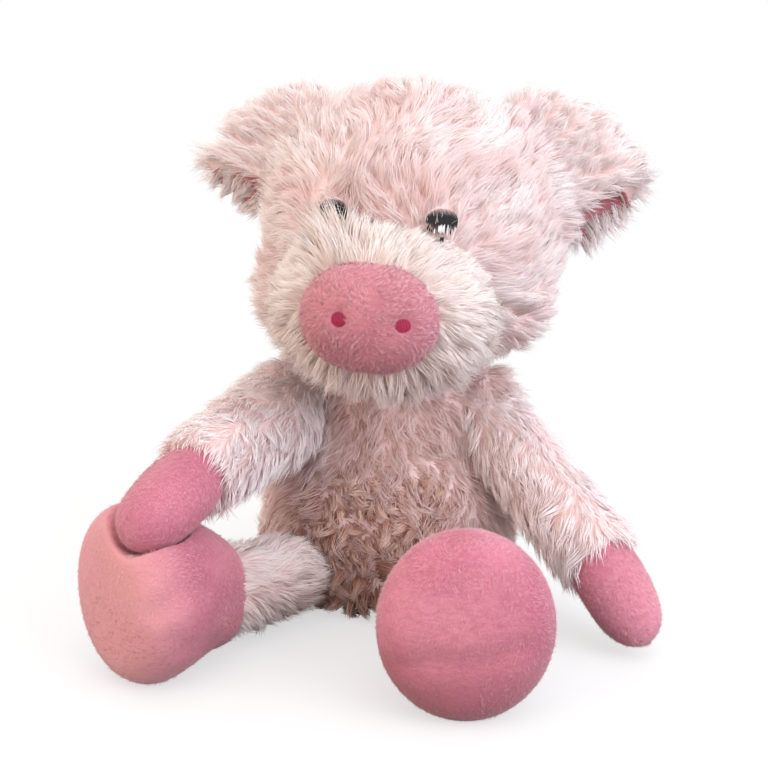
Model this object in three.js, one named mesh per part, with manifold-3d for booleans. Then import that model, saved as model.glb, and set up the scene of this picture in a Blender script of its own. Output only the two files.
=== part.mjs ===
// A sitting plush pig: long-pile skins over fibre stuffing, with a short-pile snout, mitts, feet and
// ear linings.
// Millimetres, +Z up, facing -Y. The origin is the middle of the seat, on the surface that the toy sits on.
// Left and right are the pig's own, so its left side is +X.
import * as THREE from "three";
import { mergeVertices } from "three/addons/utils/BufferGeometryUtils.js";
import Module from "manifold-3d";

const wasm = await Module();
wasm.setup();

// Fabrics and fits
const longPile = 5; // backing and pile, pressed by hand
const shortPile = 2.5;
const gap = 0.3; // between two pieces that are sewn or packed against each other
const jointGap = 1; // between a limb's root and the hollow that it turns in

// Torso
const seatRadius = 54;
const bellyRadius = 66;
const bellyHeight = 33;
const chestRadius = 50;
const chestHeight = 80;
const torsoHeight = 111;
const torsoDepthShare = 0.88; // the torso is shallower front to back than it is wide
const torsoLean = 0.05; // towards the pig's left, per millimetre of height
const flatCut = 0.5; // what the surface flattens off the rounded underside

// Neck, which is also the frame of the head
const neckPivot = new THREE.Vector3(6, -2, 91);
const neckRadius = 30;
const neckSeamThickness = 3;
const neckSeamTop = 30; // degrees from the neck's axis
const neckSeamBottom = 62;
const neckHoleRadius = 13;
const headTurned = -11; // degrees about the vertical, towards the pig's right
const headTilted = 5; // degrees towards the pig's left shoulder

// Head, measured from the neck pivot in the head's own frame
const headCentre = new THREE.Vector3(0, -6, 84);
const headSize = new THREE.Vector3(73, 66, 69);
const muzzleCentre = new THREE.Vector3(0, -61, 58);
const muzzleSize = new THREE.Vector3(50, 37, 38);
const snoutCentre = new THREE.Vector3(0, -88, 57);
const snoutSize = new THREE.Vector3(28, 17, 22);
const nostrilSpacing = 25;
const nostrilRadius = 3.4;
const nostrilAside = 3.5; // how far the stuffing pushes the pair to the left of the snout's middle
const nostrilDepth = 0.6; // how far the stitching lies under the pile's surface
const eyeSpacing = 45;
const eyeHeight = 95; // above the neck pivot
const eyeRadius = 6;
const eyeDepth = 2; // how far the stitching lies under the pile's surface
const highlightRadius = 2;
const highlightThickness = 0.8;
const highlightOffset = new THREE.Vector2(-0.7, -2); // towards the nose and up, from the eye's middle

// Ears, each folded over forwards. The base line is where it is sewn to the head.
const earBaseMiddle = new THREE.Vector3(57, 2, 117);
const earBaseLean = 31; // degrees that the base line leans outwards from the vertical, going down
const earThickness = 23;
const earRounding = 8;
const earFoldGap = 7;
const earLiningThickness = 1.6;
const earFlapEnd = -22; // where the front flap ends, up from the middle of the base line
const earRootRadius = 5;
const earRootLength = 50;
const earHeadClearance = 3.6;
// The outlines of an ear and of the space inside its fold, each a list of points in the ear's own plane:
// outwards from the base line, and up along it
const earOutline = [[-4, 32], [8, 34], [21, 25], [34, 4], [41, -18], [36, -31], [18, -36], [-4, -34]];
const foldOutline = [[-12, 21], [8, 19], [20, 8], [28, -12], [29, -60], [-12, -60]];

// Arms, measured along each arm from its shoulder pivot
const armRootRadius = 17;
const armRadius = 21;
const armThickestAt = 40;
const wristAt = 76;
const wristRadius = 20.5;
const mittRadius = 17.5;
const mittThickestAt = 20; // from the wrist
const mittLength = 47;
const mittFlatness = 0.88;
const mittDroop = 12; // degrees that the mitt bends down from the sleeve
// Heading is degrees from straight ahead towards the pig's left, rise is degrees upwards,
// and swing is how far the limb turns down and up about its root, from where it rests.
const shoulders = {
  left: { pivot: new THREE.Vector3(52, -17, 85), heading: 41, rise: -36, swing: [0, 70] },
  right: { pivot: new THREE.Vector3(-43, -14.5, 94.5), heading: -28.5, rise: -10.5, swing: [0, 42] },
};

// Legs, measured along each leg from its hip pivot
const legRootRadius = 20;
const legRadius = 21.5;
const legThickestAt = 22;
const ankleAt = 46;
const ankleRadius = 21;
const footHeight = 74;
const footWidth = 67;
const footLift = 6.5; // how much higher the foot's middle lies than the leg's
const footWidestAt = 78;
const soleRimAt = 87;
const soleAt = 95;
const soleRimInset = 4.5; // how far the sole's puckered rim lies inside the foot's widest ring
const hips = {
  left: { pivot: new THREE.Vector3(31, -51, 26), heading: 0, rise: 3, swing: [-45, 30] },
  right: { pivot: new THREE.Vector3(-42, -45, 26), heading: -47, rise: 3, swing: [-45, 0] },
};
const mittDent = 0.8; // clearance that the resting arm keeps in the dent that it presses in the foot
const swingStep = 20; // degrees between the places where room is made for a swinging limb

// Tail and the pellet bag that weights the seat
const tailRadius = 3.6;
const tailCurlRadius = 8;
const tailEndCurlRadius = 5;
const tailTurns = 1.4;
const tailLength = 22;
const tailHeight = 27;
const pelletBagSize = new THREE.Vector3(31, 22, 9);
const pelletBagBack = 9; // how far the bag lies behind the middle of the seat

// Fineness of the round shapes
const earOutlineSteps = 16;
const earRoundingSteps = 2;
const roundSides = 18;
const limbSides = 14;
const pinSides = 12;
const troughSides = 12;
const tailSides = 7;
const tailSteps = 20;
const neckSeamSteps = 3;
const rootSteps = 3;
const spanSteps = 2; // between two stations of an outline
const mittTipSteps = 5;

const narrowestRing = 2.5; // a turned form closes onto its axis where its radius is smaller
const blockSize = 1000; // of the blocks that cut the forms, larger than the toy

// A closed three.js geometry as a solid
function solid(geometry) {
  const bare = geometry.clone();
  bare.deleteAttribute("normal");
  bare.deleteAttribute("uv");
  const merged = mergeVertices(bare, 1e-3);
  return new wasm.Manifold(
    new wasm.Mesh({
      numProp: 3,
      vertProperties: new Float32Array(merged.attributes.position.array),
      triVerts: new Uint32Array(merged.index.array),
    }),
  );
}

function placed(geometry, matrix) {
  return solid(geometry.clone().applyMatrix4(matrix));
}

function ellipsoid(size, at, sides = roundSides) {
  const ball = new THREE.SphereGeometry(1, sides, Math.round(sides / 2));
  ball.rotateX(Math.PI / 2).scale(size.x, size.y, size.z).translate(at.x, at.y, at.z);
  return solid(ball);
}

function sphere(radius, at, sides = roundSides) {
  return ellipsoid(new THREE.Vector3(radius, radius, radius), at, sides);
}

function smaller(size, by) {
  return new THREE.Vector3(size.x - by, size.y - by, size.z - by);
}

// A block that fills everything on the side of a plane that its direction points to
function halfSpace(direction, distance) {
  const block = new THREE.BoxGeometry(blockSize, blockSize, blockSize);
  block.translate(0, 0, blockSize / 2 + distance);
  const turn = new THREE.Quaternion().setFromUnitVectors(new THREE.Vector3(0, 0, 1), direction);
  return solid(block.applyQuaternion(turn));
}

const aboveFloor = halfSpace(new THREE.Vector3(0, 0, 1), 0);

// An outline of [radius, along] points: a round root, where there is one, and a curve through the stations
function outlineOf(stations, rootRadius = 0) {
  const root = new THREE.EllipseCurve(0, 0, rootRadius, rootRadius, -Math.PI / 2, 0).getPoints(rootSteps);
  const curve = new THREE.SplineCurve(stations.map(([radius, along]) => new THREE.Vector2(radius, along)));
  const rest = curve.getPoints(spanSteps * (stations.length - 1));
  return rootRadius > 0 ? [...root, ...rest.slice(1)] : rest;
}

// The outline turned about +Z, with its surface taken in by an even thickness
function turnedForm(outline, inset = 0, sides = limbSides) {
  const first = outline[0].y + inset;
  const last = outline.at(-1).y - inset;
  const between = outline.slice(1, -1).map((point, i) => {
    const along = outline[i + 2].clone().sub(outline[i]).normalize();
    const height = THREE.MathUtils.clamp(point.y + along.x * inset, first, last);
    return new THREE.Vector2(point.x - along.y * inset, height);
  });
  const kept = between.filter(({ x }) => x > narrowestRing);
  const profile = [new THREE.Vector2(0, first), ...kept, new THREE.Vector2(0, last)];
  return new THREE.LatheGeometry(profile, sides).rotateX(Math.PI / 2);
}

// Limbs. Each is built along its own +Z, with +Y up, and its frame turns it to its heading and rise.
function limbFrame({ pivot, heading, rise }) {
  const [tip, turn] = [90 - rise, heading].map(THREE.MathUtils.degToRad);
  return new THREE.Matrix4().makeRotationFromEuler(new THREE.Euler(tip, 0, turn, "ZXY")).setPosition(pivot);
}

const up = new THREE.Vector3(0, 0, 1);
const beyond = (distance) => halfSpace(up, distance);
const armOutline = outlineOf([[armRootRadius, 0], [armRadius, armThickestAt], [wristRadius, wristAt],
  [0, wristAt + wristRadius]], armRootRadius);
const mittTipLength = mittLength - mittThickestAt;
const mittTip = new THREE.EllipseCurve(0, mittThickestAt, mittRadius, mittTipLength, 0, Math.PI / 2);
const mittRoot = [new THREE.Vector2(0, -mittRadius), new THREE.Vector2(mittRadius - shortPile, -shortPile)];
const mittOutline = [...mittRoot, ...mittTip.getPoints(mittTipSteps)];
const legOutline = outlineOf([[legRootRadius, 0], [legRadius, legThickestAt], [ankleRadius, ankleAt],
  [0, ankleAt + ankleRadius]], legRootRadius);
const footOutline = outlineOf([[0, ankleAt - ankleRadius], [ankleRadius, ankleAt - shortPile],
  [footHeight / 2, footWidestAt], [footHeight / 2 - soleRimInset, soleRimAt], [0, soleAt]]);

const armForm = (inset) => solid(turnedForm(armOutline, inset));
const legForm = (inset) => solid(turnedForm(legOutline, inset));
const footForm = (inset) =>
  solid(turnedForm(footOutline, inset).scale(footWidth / footHeight, 1, 1).translate(0, footLift, 0));

function mittForm(inset) {
  const mitt = turnedForm(mittOutline, inset).scale(1, mittFlatness, 1);
  return solid(mitt.rotateX(THREE.MathUtils.degToRad(mittDroop)).translate(0, 0, wristAt));
}

// A whole arm with its skin taken in, or let out where the amount is negative
function armWhole(inset) {
  const sleeve = armForm(inset).subtract(beyond(wristAt));
  return sleeve.add(mittForm(inset).intersect(beyond(wristAt - gap)));
}

// The room in the torso that a swinging limb needs: a ball for its root, and a tapered trough at steps
// through its swing, each as wide as the limb
function swingRoom(limb, rootRadius, thickest, thickestAt, grown) {
  const around = (radius) => (radius + jointGap) / Math.cos(Math.PI / troughSides) + grown;
  const reach = 2 * thickestAt;
  const wide = around(thickest);
  const section = [[0, 0], [around(rootRadius), 0], [wide, thickestAt], [wide, reach], [0, reach]];
  const trough = new THREE.LatheGeometry(section.map(([x, y]) => new THREE.Vector2(x, y)), troughSides);
  const [lowest, highest] = limb.swing;
  const steps = Math.ceil((highest - lowest) / swingStep);
  let room = sphere((rootRadius + jointGap) / Math.cos(Math.PI / limbSides) + grown, limb.pivot, limbSides);
  for (let i = 0; i <= steps; i++) {
    const angle = THREE.MathUtils.degToRad(lowest + ((highest - lowest) * i) / steps);
    const lifted = new THREE.Matrix4().makeRotationX(Math.PI / 2 - angle);
    room = room.add(placed(trough, limbFrame(limb).multiply(lifted)));
  }
  return room;
}

// Torso
const pearStations = [[0, -flatCut], [seatRadius, -flatCut], [bellyRadius, bellyHeight],
  [chestRadius, chestHeight], [0, torsoHeight]];
const torsoOutline = outlineOf(pearStations).map(({ x, y }) => new THREE.Vector2(x, Math.max(y, -flatCut)));
const leaning = new THREE.Matrix4().makeShear(0, 0, 0, 0, torsoLean, 0);

function torsoForm(inset) {
  const pear = turnedForm(torsoOutline, inset, roundSides).scale(1, torsoDepthShare, 1);
  return placed(pear, leaning).add(sphere(neckRadius - inset, neckPivot));
}

// The hollows that the limbs' roots turn in, and the troughs beside them
function limbHollows(grown) {
  const arm = [armRootRadius, armRadius, armThickestAt, grown];
  const leg = [legRootRadius, legRadius, legThickestAt, grown];
  const arms = Object.values(shoulders).map((limb) => swingRoom(limb, ...arm));
  const legs = Object.values(hips).map((limb) => swingRoom(limb, ...leg));
  return [...arms, ...legs].reduce((all, hollow) => all.add(hollow));
}

// The round way from the torso into the head, which the stuffing fills
function neckPassage(radius) {
  const way = new THREE.CylinderGeometry(radius, radius, neckRadius * 2, limbSides).rotateX(Math.PI / 2);
  return solid(way.translate(neckPivot.x, neckPivot.y, neckPivot.z + neckRadius));
}

function pelletBag(grown) {
  const rest = new THREE.Vector3(0, pelletBagBack, longPile + gap + pelletBagSize.z - flatCut);
  return ellipsoid(smaller(pelletBagSize, -grown), rest, limbSides);
}

function torsoSkin() {
  const inside = torsoForm(longPile).subtract(limbHollows(longPile));
  return torsoForm(0).subtract(limbHollows(0)).subtract(inside).subtract(neckPassage(neckHoleRadius))
    .intersect(aboveFloor);
}

function torsoStuffing() {
  const packed = torsoForm(longPile + gap).subtract(limbHollows(longPile + gap)).subtract(pelletBag(gap));
  const plugReach = sphere(neckRadius + neckSeamThickness + jointGap, neckPivot);
  return packed.add(neckPassage(neckHoleRadius - gap).intersect(plugReach));
}

// The ring of seam allowance, folded inside the neck, that joins the torso's skin to the head's
function neckSeam() {
  const inner = neckRadius + jointGap;
  const outer = inner + neckSeamThickness;
  const arc = (radius, from, to) =>
    Array.from({ length: neckSeamSteps + 1 }, (_, i) => {
      const angle = THREE.MathUtils.degToRad(from + ((to - from) * i) / neckSeamSteps);
      return new THREE.Vector2(radius * Math.sin(angle), radius * Math.cos(angle));
    });
  const section = [...arc(outer, neckSeamBottom, neckSeamTop), ...arc(inner, neckSeamTop, neckSeamBottom)];
  return solid(new THREE.LatheGeometry([...section, section[0].clone()], roundSides).rotateX(Math.PI / 2));
}

// A short curled tube at the back of the seat
function tail() {
  const back = torsoDepthShare * bellyRadius;
  const root = new THREE.Vector3(torsoLean * tailHeight, back - longPile, tailHeight);
  const points = Array.from({ length: tailSteps + 1 }, (_, i) => {
    const share = i / tailSteps;
    const angle = share * tailTurns * 2 * Math.PI;
    const radius = THREE.MathUtils.lerp(tailCurlRadius, tailEndCurlRadius, share);
    return new THREE.Vector3(
      root.x + radius * Math.sin(angle),
      root.y + tailLength * share,
      root.z + tailCurlRadius - radius * Math.cos(angle),
    );
  });
  const round = new THREE.EllipseCurve(0, 0, tailRadius, tailRadius).getPoints(tailSides);
  const section = new THREE.Shape(round.slice(0, tailSides));
  const path = new THREE.CatmullRomCurve3(points);
  const tube = new THREE.ExtrudeGeometry(section, { steps: tailSteps, extrudePath: path });
  return solid(tube).subtract(torsoForm(-gap));
}

// Head, muzzle and snout, each a skin over one shared stuffing
const headForm = (inset) => ellipsoid(smaller(headSize, inset), headCentre);
const muzzleForm = (inset) => ellipsoid(smaller(muzzleSize, inset), muzzleCentre);
const snoutForm = (inset) => ellipsoid(smaller(snoutSize, inset), snoutCentre, limbSides);
const neckSocket = sphere(neckRadius + 2 * jointGap + neckSeamThickness, new THREE.Vector3());
const sides = { left: 1, right: -1 };

// A round pin that runs forwards through the face from a place beside and above the neck pivot
function facePin(radius, x, y, z) {
  const length = headSize.y + muzzleSize.y;
  const pin = new THREE.CylinderGeometry(radius, radius, length, pinSides);
  return solid(pin.translate(x, y - length / 2, z));
}

function nostrilHole(side, grown) {
  const aside = nostrilAside + (side * nostrilSpacing) / 2;
  return facePin(nostrilRadius + grown, aside, snoutCentre.y, snoutCentre.z);
}

function eyeHole(side, grown) {
  return facePin(eyeRadius + grown, (side * eyeSpacing) / 2, headCentre.y, eyeHeight);
}

function headSkin() {
  let skin = headForm(0).subtract(headForm(longPile)).subtract(neckSocket);
  skin = skin.subtract(muzzleForm(longPile));
  for (const side of Object.values(sides)) {
    skin = skin.subtract(eyeHole(side, gap)).subtract(earGroove(side));
  }
  return skin;
}

function headStuffing() {
  const face = muzzleForm(longPile + gap).add(snoutForm(shortPile + gap));
  let packed = headForm(longPile + gap).add(face).subtract(neckSocket);
  for (const side of Object.values(sides)) packed = packed.subtract(earGroove(side, gap));
  return packed;
}

function muzzleSkin() {
  const shell = muzzleForm(0).subtract(muzzleForm(longPile));
  return shell.subtract(headForm(-gap)).subtract(snoutForm(shortPile));
}

function snoutSkin() {
  let skin = snoutForm(0).subtract(snoutForm(shortPile)).subtract(muzzleForm(-gap));
  for (const side of Object.values(sides)) skin = skin.subtract(nostrilHole(side, gap));
  return skin;
}

// Stitching that fills a hole in a skin, from a depth under the surface of its form
function stitchedPatch(pin, form, depth, thickness) {
  return pin.intersect(form(depth)).subtract(form(depth + thickness));
}

function nostril(side) {
  return stitchedPatch(nostrilHole(side, 0), snoutForm, nostrilDepth, shortPile - nostrilDepth);
}

function eye(side) {
  return stitchedPatch(eyeHole(side, 0), headForm, eyeDepth, longPile - eyeDepth);
}

function eyeHighlight(side) {
  const x = side * (eyeSpacing / 2 - highlightOffset.x);
  const pin = facePin(highlightRadius, x, headCentre.y, eyeHeight + highlightOffset.y);
  return stitchedPatch(pin, headForm, eyeDepth - gap - highlightThickness, highlightThickness);
}

// Ears
function earFrame(side) {
  const across = new THREE.Matrix4().makeRotationX(Math.PI / 2);
  const lean = new THREE.Matrix4().makeRotationY(THREE.MathUtils.degToRad(-earBaseLean));
  const base = new THREE.Matrix4().makeTranslation(earBaseMiddle.x, earBaseMiddle.y, earBaseMiddle.z);
  const mirrored = new THREE.Matrix4().makeScale(side, 1, 1);
  return mirrored.multiply(base).multiply(lean).multiply(across);
}

// A shape in an ear's frame; a mirrored frame turns its faces, so they are turned back
function earSolid(geometry, side) {
  const made = geometry.clone().applyMatrix4(earFrame(side));
  if (side < 0) {
    const order = made.index ? [...made.index.array] : [...Array(made.attributes.position.count).keys()];
    for (let i = 0; i < order.length; i += 3) [order[i], order[i + 1]] = [order[i + 1], order[i]];
    made.setIndex(order);
  }
  return solid(made);
}

const earShape = new THREE.Shape(
  new THREE.SplineCurve([...earOutline, earOutline[0]].map(([x, y]) => new THREE.Vector2(x, y)))
    .getSpacedPoints(earOutlineSteps)
    .slice(0, -1),
);
const foldShape = new THREE.Shape(foldOutline.map(([x, y]) => new THREE.Vector2(x, y)));

// An ear's whole form, a rounded pillow of its outline
function earPillow(side) {
  const pillow = new THREE.ExtrudeGeometry(earShape, {
    depth: earThickness - 2 * earRounding,
    bevelThickness: earRounding,
    bevelSize: earRounding,
    bevelOffset: -earRounding,
    bevelSegments: earRoundingSteps,
  });
  return earSolid(pillow.translate(0, 0, earRounding - earThickness / 2), side);
}

// The space between the folded layers of an ear
function foldSpace(side, grown) {
  const settings = { depth: earFoldGap, bevelSegments: 1, bevelThickness: grown, bevelSize: grown };
  const space = new THREE.ExtrudeGeometry(foldShape, { ...settings, bevelEnabled: grown > 0 });
  return earSolid(space.translate(0, 0, -earFoldGap / 2), side);
}

// What the shorter front flap leaves away
function belowFlap(side) {
  const block = new THREE.BoxGeometry(blockSize, blockSize, blockSize);
  return earSolid(block.translate(0, earFlapEnd - blockSize / 2, blockSize / 2), side);
}

const earRoot = (radius, length) => new THREE.CylinderGeometry(radius, radius, length, pinSides);
const earGroove = (side, grown = 0) =>
  earSolid(earRoot(earRootRadius + jointGap / 2 + grown, earRootLength + 2 * jointGap + 2 * grown), side);

function earOuter(side) {
  const blade = earPillow(side).subtract(headForm(-earHeadClearance)).subtract(belowFlap(side));
  const rooted = blade.add(earSolid(earRoot(earRootRadius, earRootLength), side));
  return rooted.subtract(foldSpace(side, earLiningThickness + gap));
}

function earLining(side) {
  const layer = foldSpace(side, earLiningThickness).subtract(foldSpace(side, 0)).intersect(earPillow(side));
  return layer.subtract(headForm(-earHeadClearance)).subtract(belowFlap(side));
}

// A solid of the toy's own frame, or of another limb's, seen from a limb's frame
function seenFrom(limb, made, from = new THREE.Matrix4()) {
  return made.transform(limbFrame(limb).invert().multiply(from).elements);
}

const armSleeve = () => armForm(0).subtract(armForm(longPile)).subtract(beyond(wristAt - gap));
const armMitt = () => mittForm(0).subtract(mittForm(shortPile)).intersect(beyond(wristAt));

function armStuffing() {
  const mitt = mittForm(shortPile + gap).intersect(beyond(wristAt - gap));
  return armForm(longPile + gap).subtract(beyond(wristAt)).add(mitt);
}

// The foot's skin and stuffing, pressed in where the arm of the same side rests on it
function footBetween(limb, name, from, to, inset) {
  const dent = seenFrom(limb, armWhole(-mittDent - inset), limbFrame(shoulders[name]));
  const outside = footForm(inset).subtract(dent).intersect(seenFrom(limb, aboveFloor));
  return outside.intersect(beyond(from)).subtract(beyond(to));
}

const legSleeve = () => legForm(0).subtract(legForm(longPile)).subtract(beyond(ankleAt - gap));

function footCover(limb, name) {
  const hollow = footBetween(limb, name, 0, soleAt, shortPile);
  return footBetween(limb, name, ankleAt, soleRimAt, 0).subtract(hollow);
}

function footSole(limb, name) {
  const hollow = footBetween(limb, name, 0, soleAt, shortPile);
  return footBetween(limb, name, soleRimAt + gap, blockSize, 0).subtract(hollow);
}

function legStuffing(limb, name) {
  const foot = footBetween(limb, name, ankleAt - gap, blockSize, shortPile + gap);
  return legForm(longPile + gap).subtract(beyond(ankleAt)).add(foot);
}

// Colours of the fabrics and threads
const finishes = {
  pinkFur: { color: 0xf3dcd9, roughness: 0.95, metalness: 0 },
  paleFur: { color: 0xf4ebe4, roughness: 0.95, metalness: 0 },
  rosePlush: { color: 0xe2899f, roughness: 0.9, metalness: 0 },
  snoutPlush: { color: 0xd98b98, roughness: 0.9, metalness: 0 },
  stuffing: { color: 0xf6f5f1, roughness: 1, metalness: 0 },
  pelletCloth: { color: 0xe9e4d8, roughness: 0.9, metalness: 0 },
  seamTape: { color: 0xecc9c6, roughness: 0.9, metalness: 0 },
  blackThread: { color: 0x1c1c20, roughness: 0.45, metalness: 0 },
  whiteThread: { color: 0xf7f7f7, roughness: 0.45, metalness: 0 },
  crimsonThread: { color: 0xa8244c, roughness: 0.45, metalness: 0 },
};

function part(name, made, finish) {
  const { vertProperties, triVerts, numProp } = made.getMesh();
  if (numProp !== 3) throw new Error(`${name} has more than a position at each point`);
  const geometry = new THREE.BufferGeometry();
  geometry.setAttribute("position", new THREE.BufferAttribute(vertProperties, 3));
  geometry.setIndex(new THREE.BufferAttribute(triVerts, 1));
  const mesh = new THREE.Mesh(geometry, new THREE.MeshStandardMaterial(finish));
  mesh.name = name;
  return mesh;
}

function torso() {
  const group = new THREE.Group();
  group.add(part("torso_skin", torsoSkin(), finishes.pinkFur));
  group.add(part("torso_stuffing", torsoStuffing(), finishes.stuffing));
  group.add(part("seat_pellet_bag", pelletBag(0), finishes.pelletCloth));
  group.add(part("tail", tail(), finishes.rosePlush));
  return group;
}

function head() {
  const group = new THREE.Group();
  group.add(part("neck_seam", neckSeam(), finishes.seamTape));
  group.add(part("head_skin", headSkin(), finishes.pinkFur));
  group.add(part("head_stuffing", headStuffing(), finishes.stuffing));
  group.add(part("muzzle_skin", muzzleSkin(), finishes.paleFur));
  group.add(part("snout_skin", snoutSkin(), finishes.snoutPlush));
  for (const [name, side] of Object.entries(sides)) {
    group.add(part(`nostril_${name}`, nostril(side), finishes.crimsonThread));
    group.add(part(`eye_${name}`, eye(side), finishes.blackThread));
    group.add(part(`eye_highlight_${name}`, eyeHighlight(side), finishes.whiteThread));
    group.add(part(`ear_${name}_outer`, earOuter(side), finishes.pinkFur));
    group.add(part(`ear_${name}_lining`, earLining(side), finishes.rosePlush));
  }
  group.position.copy(neckPivot);
  group.rotation.set(0, THREE.MathUtils.degToRad(headTilted), THREE.MathUtils.degToRad(headTurned), "ZYX");
  return group;
}

function arm(name) {
  const group = new THREE.Group();
  group.add(part(`arm_${name}_sleeve`, armSleeve(), finishes.pinkFur));
  group.add(part(`mitt_${name}`, armMitt(), finishes.rosePlush));
  group.add(part(`arm_${name}_stuffing`, armStuffing(), finishes.stuffing));
  group.applyMatrix4(limbFrame(shoulders[name]));
  return group;
}

function leg(name) {
  const limb = hips[name];
  const group = new THREE.Group();
  group.add(part(`leg_${name}_sleeve`, legSleeve(), finishes.pinkFur));
  group.add(part(`foot_${name}_cover`, footCover(limb, name), finishes.rosePlush));
  group.add(part(`foot_${name}_sole`, footSole(limb, name), finishes.rosePlush));
  group.add(part(`leg_${name}_stuffing`, legStuffing(limb, name), finishes.stuffing));
  group.applyMatrix4(limbFrame(limb));
  return group;
}

const pig = new THREE.Group();
pig.add(torso(), head(), arm("left"), arm("right"), leg("left"), leg("right"));

export default pig;
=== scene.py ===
import math

import bmesh
import bpy
import numpy as np
from mathutils import Matrix, Vector
from mathutils.bvhtree import BVHTree
from mathutils.kdtree import KDTree


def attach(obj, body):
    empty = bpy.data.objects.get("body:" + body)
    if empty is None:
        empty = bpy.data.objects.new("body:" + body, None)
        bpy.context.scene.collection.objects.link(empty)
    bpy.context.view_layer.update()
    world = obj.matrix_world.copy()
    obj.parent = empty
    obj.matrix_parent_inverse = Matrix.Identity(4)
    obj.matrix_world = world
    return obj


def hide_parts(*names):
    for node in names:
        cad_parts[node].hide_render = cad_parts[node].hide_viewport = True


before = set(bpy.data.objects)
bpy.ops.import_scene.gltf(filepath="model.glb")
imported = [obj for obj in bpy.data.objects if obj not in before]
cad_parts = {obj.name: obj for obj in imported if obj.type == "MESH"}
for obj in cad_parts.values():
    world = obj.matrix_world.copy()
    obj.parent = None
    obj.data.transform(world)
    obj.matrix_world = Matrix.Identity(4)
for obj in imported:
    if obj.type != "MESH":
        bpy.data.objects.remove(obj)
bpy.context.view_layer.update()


# Torso. A pear-shaped bag of long-pile fur fabric, stuffed with fibre and weighted in its seat with a bag
# of pellets. Its seams are hidden in the pile, which is pink at the root and almost white at the tip, lies
# down the chest, and is matted into brownish curls low on the belly. The chest and belly also carry painted
# shade under the head.
mm = 0.001
pile_depth = 5.3  # how far the backing lies under the pile's average surface
root_depth = 0.6  # how far a strand starts inside its backing
strand_flatness = 0.6  # a strand's thickness as a share of its width
floor_gap = 0.3  # how far every strand stays above the floor
neck_pivot = (6, -2, 91)
neck_cover = 22  # radius of the top of the torso that the neck hides
torso_height = 111
torso_lean = 0.05  # towards the pig's left, per millimetre of height
torso_flatness = 0.88  # its depth as a share of its width


def smooth_line(stations, steps=8):
    """Points on a smooth curve through stations of (radius, height)."""
    p = np.array([stations[0], *stations, stations[-1]], float)
    t = np.linspace(0, 1, steps, endpoint=False)[:, None]
    spans = [
        b + (c - a) * t / 2 + (2 * a - 5 * b + 4 * c - d) * t**2 / 2 + (3 * b - a - 3 * c + d) * t**3 / 2
        for a, b, c, d in zip(p, p[1:], p[2:], p[3:])
    ]
    return np.vstack([*spans, p[-1:]])


def turned(stations, sides=40):
    """A closed form that a smooth outline of (radius, height) stations sweeps about z."""
    bm = bmesh.new()
    line = [bm.verts.new((max(radius, 0) * mm, 0, height * mm)) for radius, height in smooth_line(stations)]
    edges = [bm.edges.new(pair) for pair in zip(line, line[1:])]
    bmesh.ops.spin(bm, geom=line + edges, cent=(0, 0, 0), axis=(0, 0, 1), angle=math.tau, steps=sides,
                   use_merge=True)
    bmesh.ops.remove_doubles(bm, verts=bm.verts, dist=1e-6)
    bmesh.ops.recalc_face_normals(bm, faces=bm.faces)
    return bm


def ball(radii, at):
    """A round form with a radius along each axis."""
    bm = bmesh.new()
    bmesh.ops.create_icosphere(bm, subdivisions=4, radius=1)
    bmesh.ops.scale(bm, vec=Vector(radii) * mm, verts=bm.verts)
    bmesh.ops.translate(bm, vec=Vector(at) * mm, verts=bm.verts)
    return bm


def moved(form, matrix):
    """The same form, put through a matrix."""
    bmesh.ops.transform(form, matrix=matrix, verts=form.verts)
    return form


def smoothed(form, verts):
    bmesh.ops.smooth_vert(form, verts=verts, factor=0.5, use_axis_x=True, use_axis_y=True, use_axis_z=True)


def as_mesh(name, form):
    mesh = bpy.data.meshes.new(name)
    form.to_mesh(mesh)
    form.free()
    return mesh


def added(name, data):
    """A new object in the scene."""
    made = bpy.data.objects.new(name, data)
    bpy.context.scene.collection.objects.link(made)
    return made


def stuffed(name, forms, fineness=2.0, ease=6, taken_in=0.0):
    """One soft skin round overlapping forms, with its creases eased and its surface taken in evenly."""
    gathered = bmesh.new()
    for form in forms:
        part = as_mesh(name, form)
        gathered.from_mesh(part)
        bpy.data.meshes.remove(part)
    rough = as_mesh(name, gathered)
    piece = added(name, rough)
    skin = piece.modifiers.new("one skin", "REMESH")
    skin.mode = "VOXEL"
    skin.voxel_size = fineness * mm
    eased = piece.modifiers.new("eased", "SMOOTH")
    eased.iterations = ease
    seen = piece.evaluated_get(bpy.context.evaluated_depsgraph_get())
    piece.data = bpy.data.meshes.new_from_object(seen)
    piece.modifiers.clear()
    bpy.data.meshes.remove(rough)
    bm = bmesh.new()
    bm.from_mesh(piece.data)
    bm.normal_update()
    for v in bm.verts:
        v.co -= v.normal * taken_in * mm
    smoothed(bm, bm.verts)
    bm.to_mesh(piece.data)
    bm.free()
    piece.data.shade_smooth()
    return piece


def on_floor(piece, gap):
    """What would reach under the floor lies flat on it, with this gap."""
    for v in piece.data.vertices:
        v.co.z = max(v.co.z, gap * mm)


class Socket:
    """An output of a finish's nodes, with arithmetic on its values."""

    def __init__(self, finish, out):
        self.finish, self.out = finish, out

    def _math(self, operation, first, second):
        return self.finish.node("Math", {0: first, 1: second}, operation=operation)

    def __add__(self, other):
        return self._math("ADD", self, other)

    def __radd__(self, other):
        return self._math("ADD", other, self)

    def __sub__(self, other):
        return self._math("SUBTRACT", self, other)

    def __rsub__(self, other):
        return self._math("SUBTRACT", other, self)

    def __mul__(self, other):
        return self._math("MULTIPLY", self, other)

    def __rmul__(self, other):
        return self._math("MULTIPLY", other, self)


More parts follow.
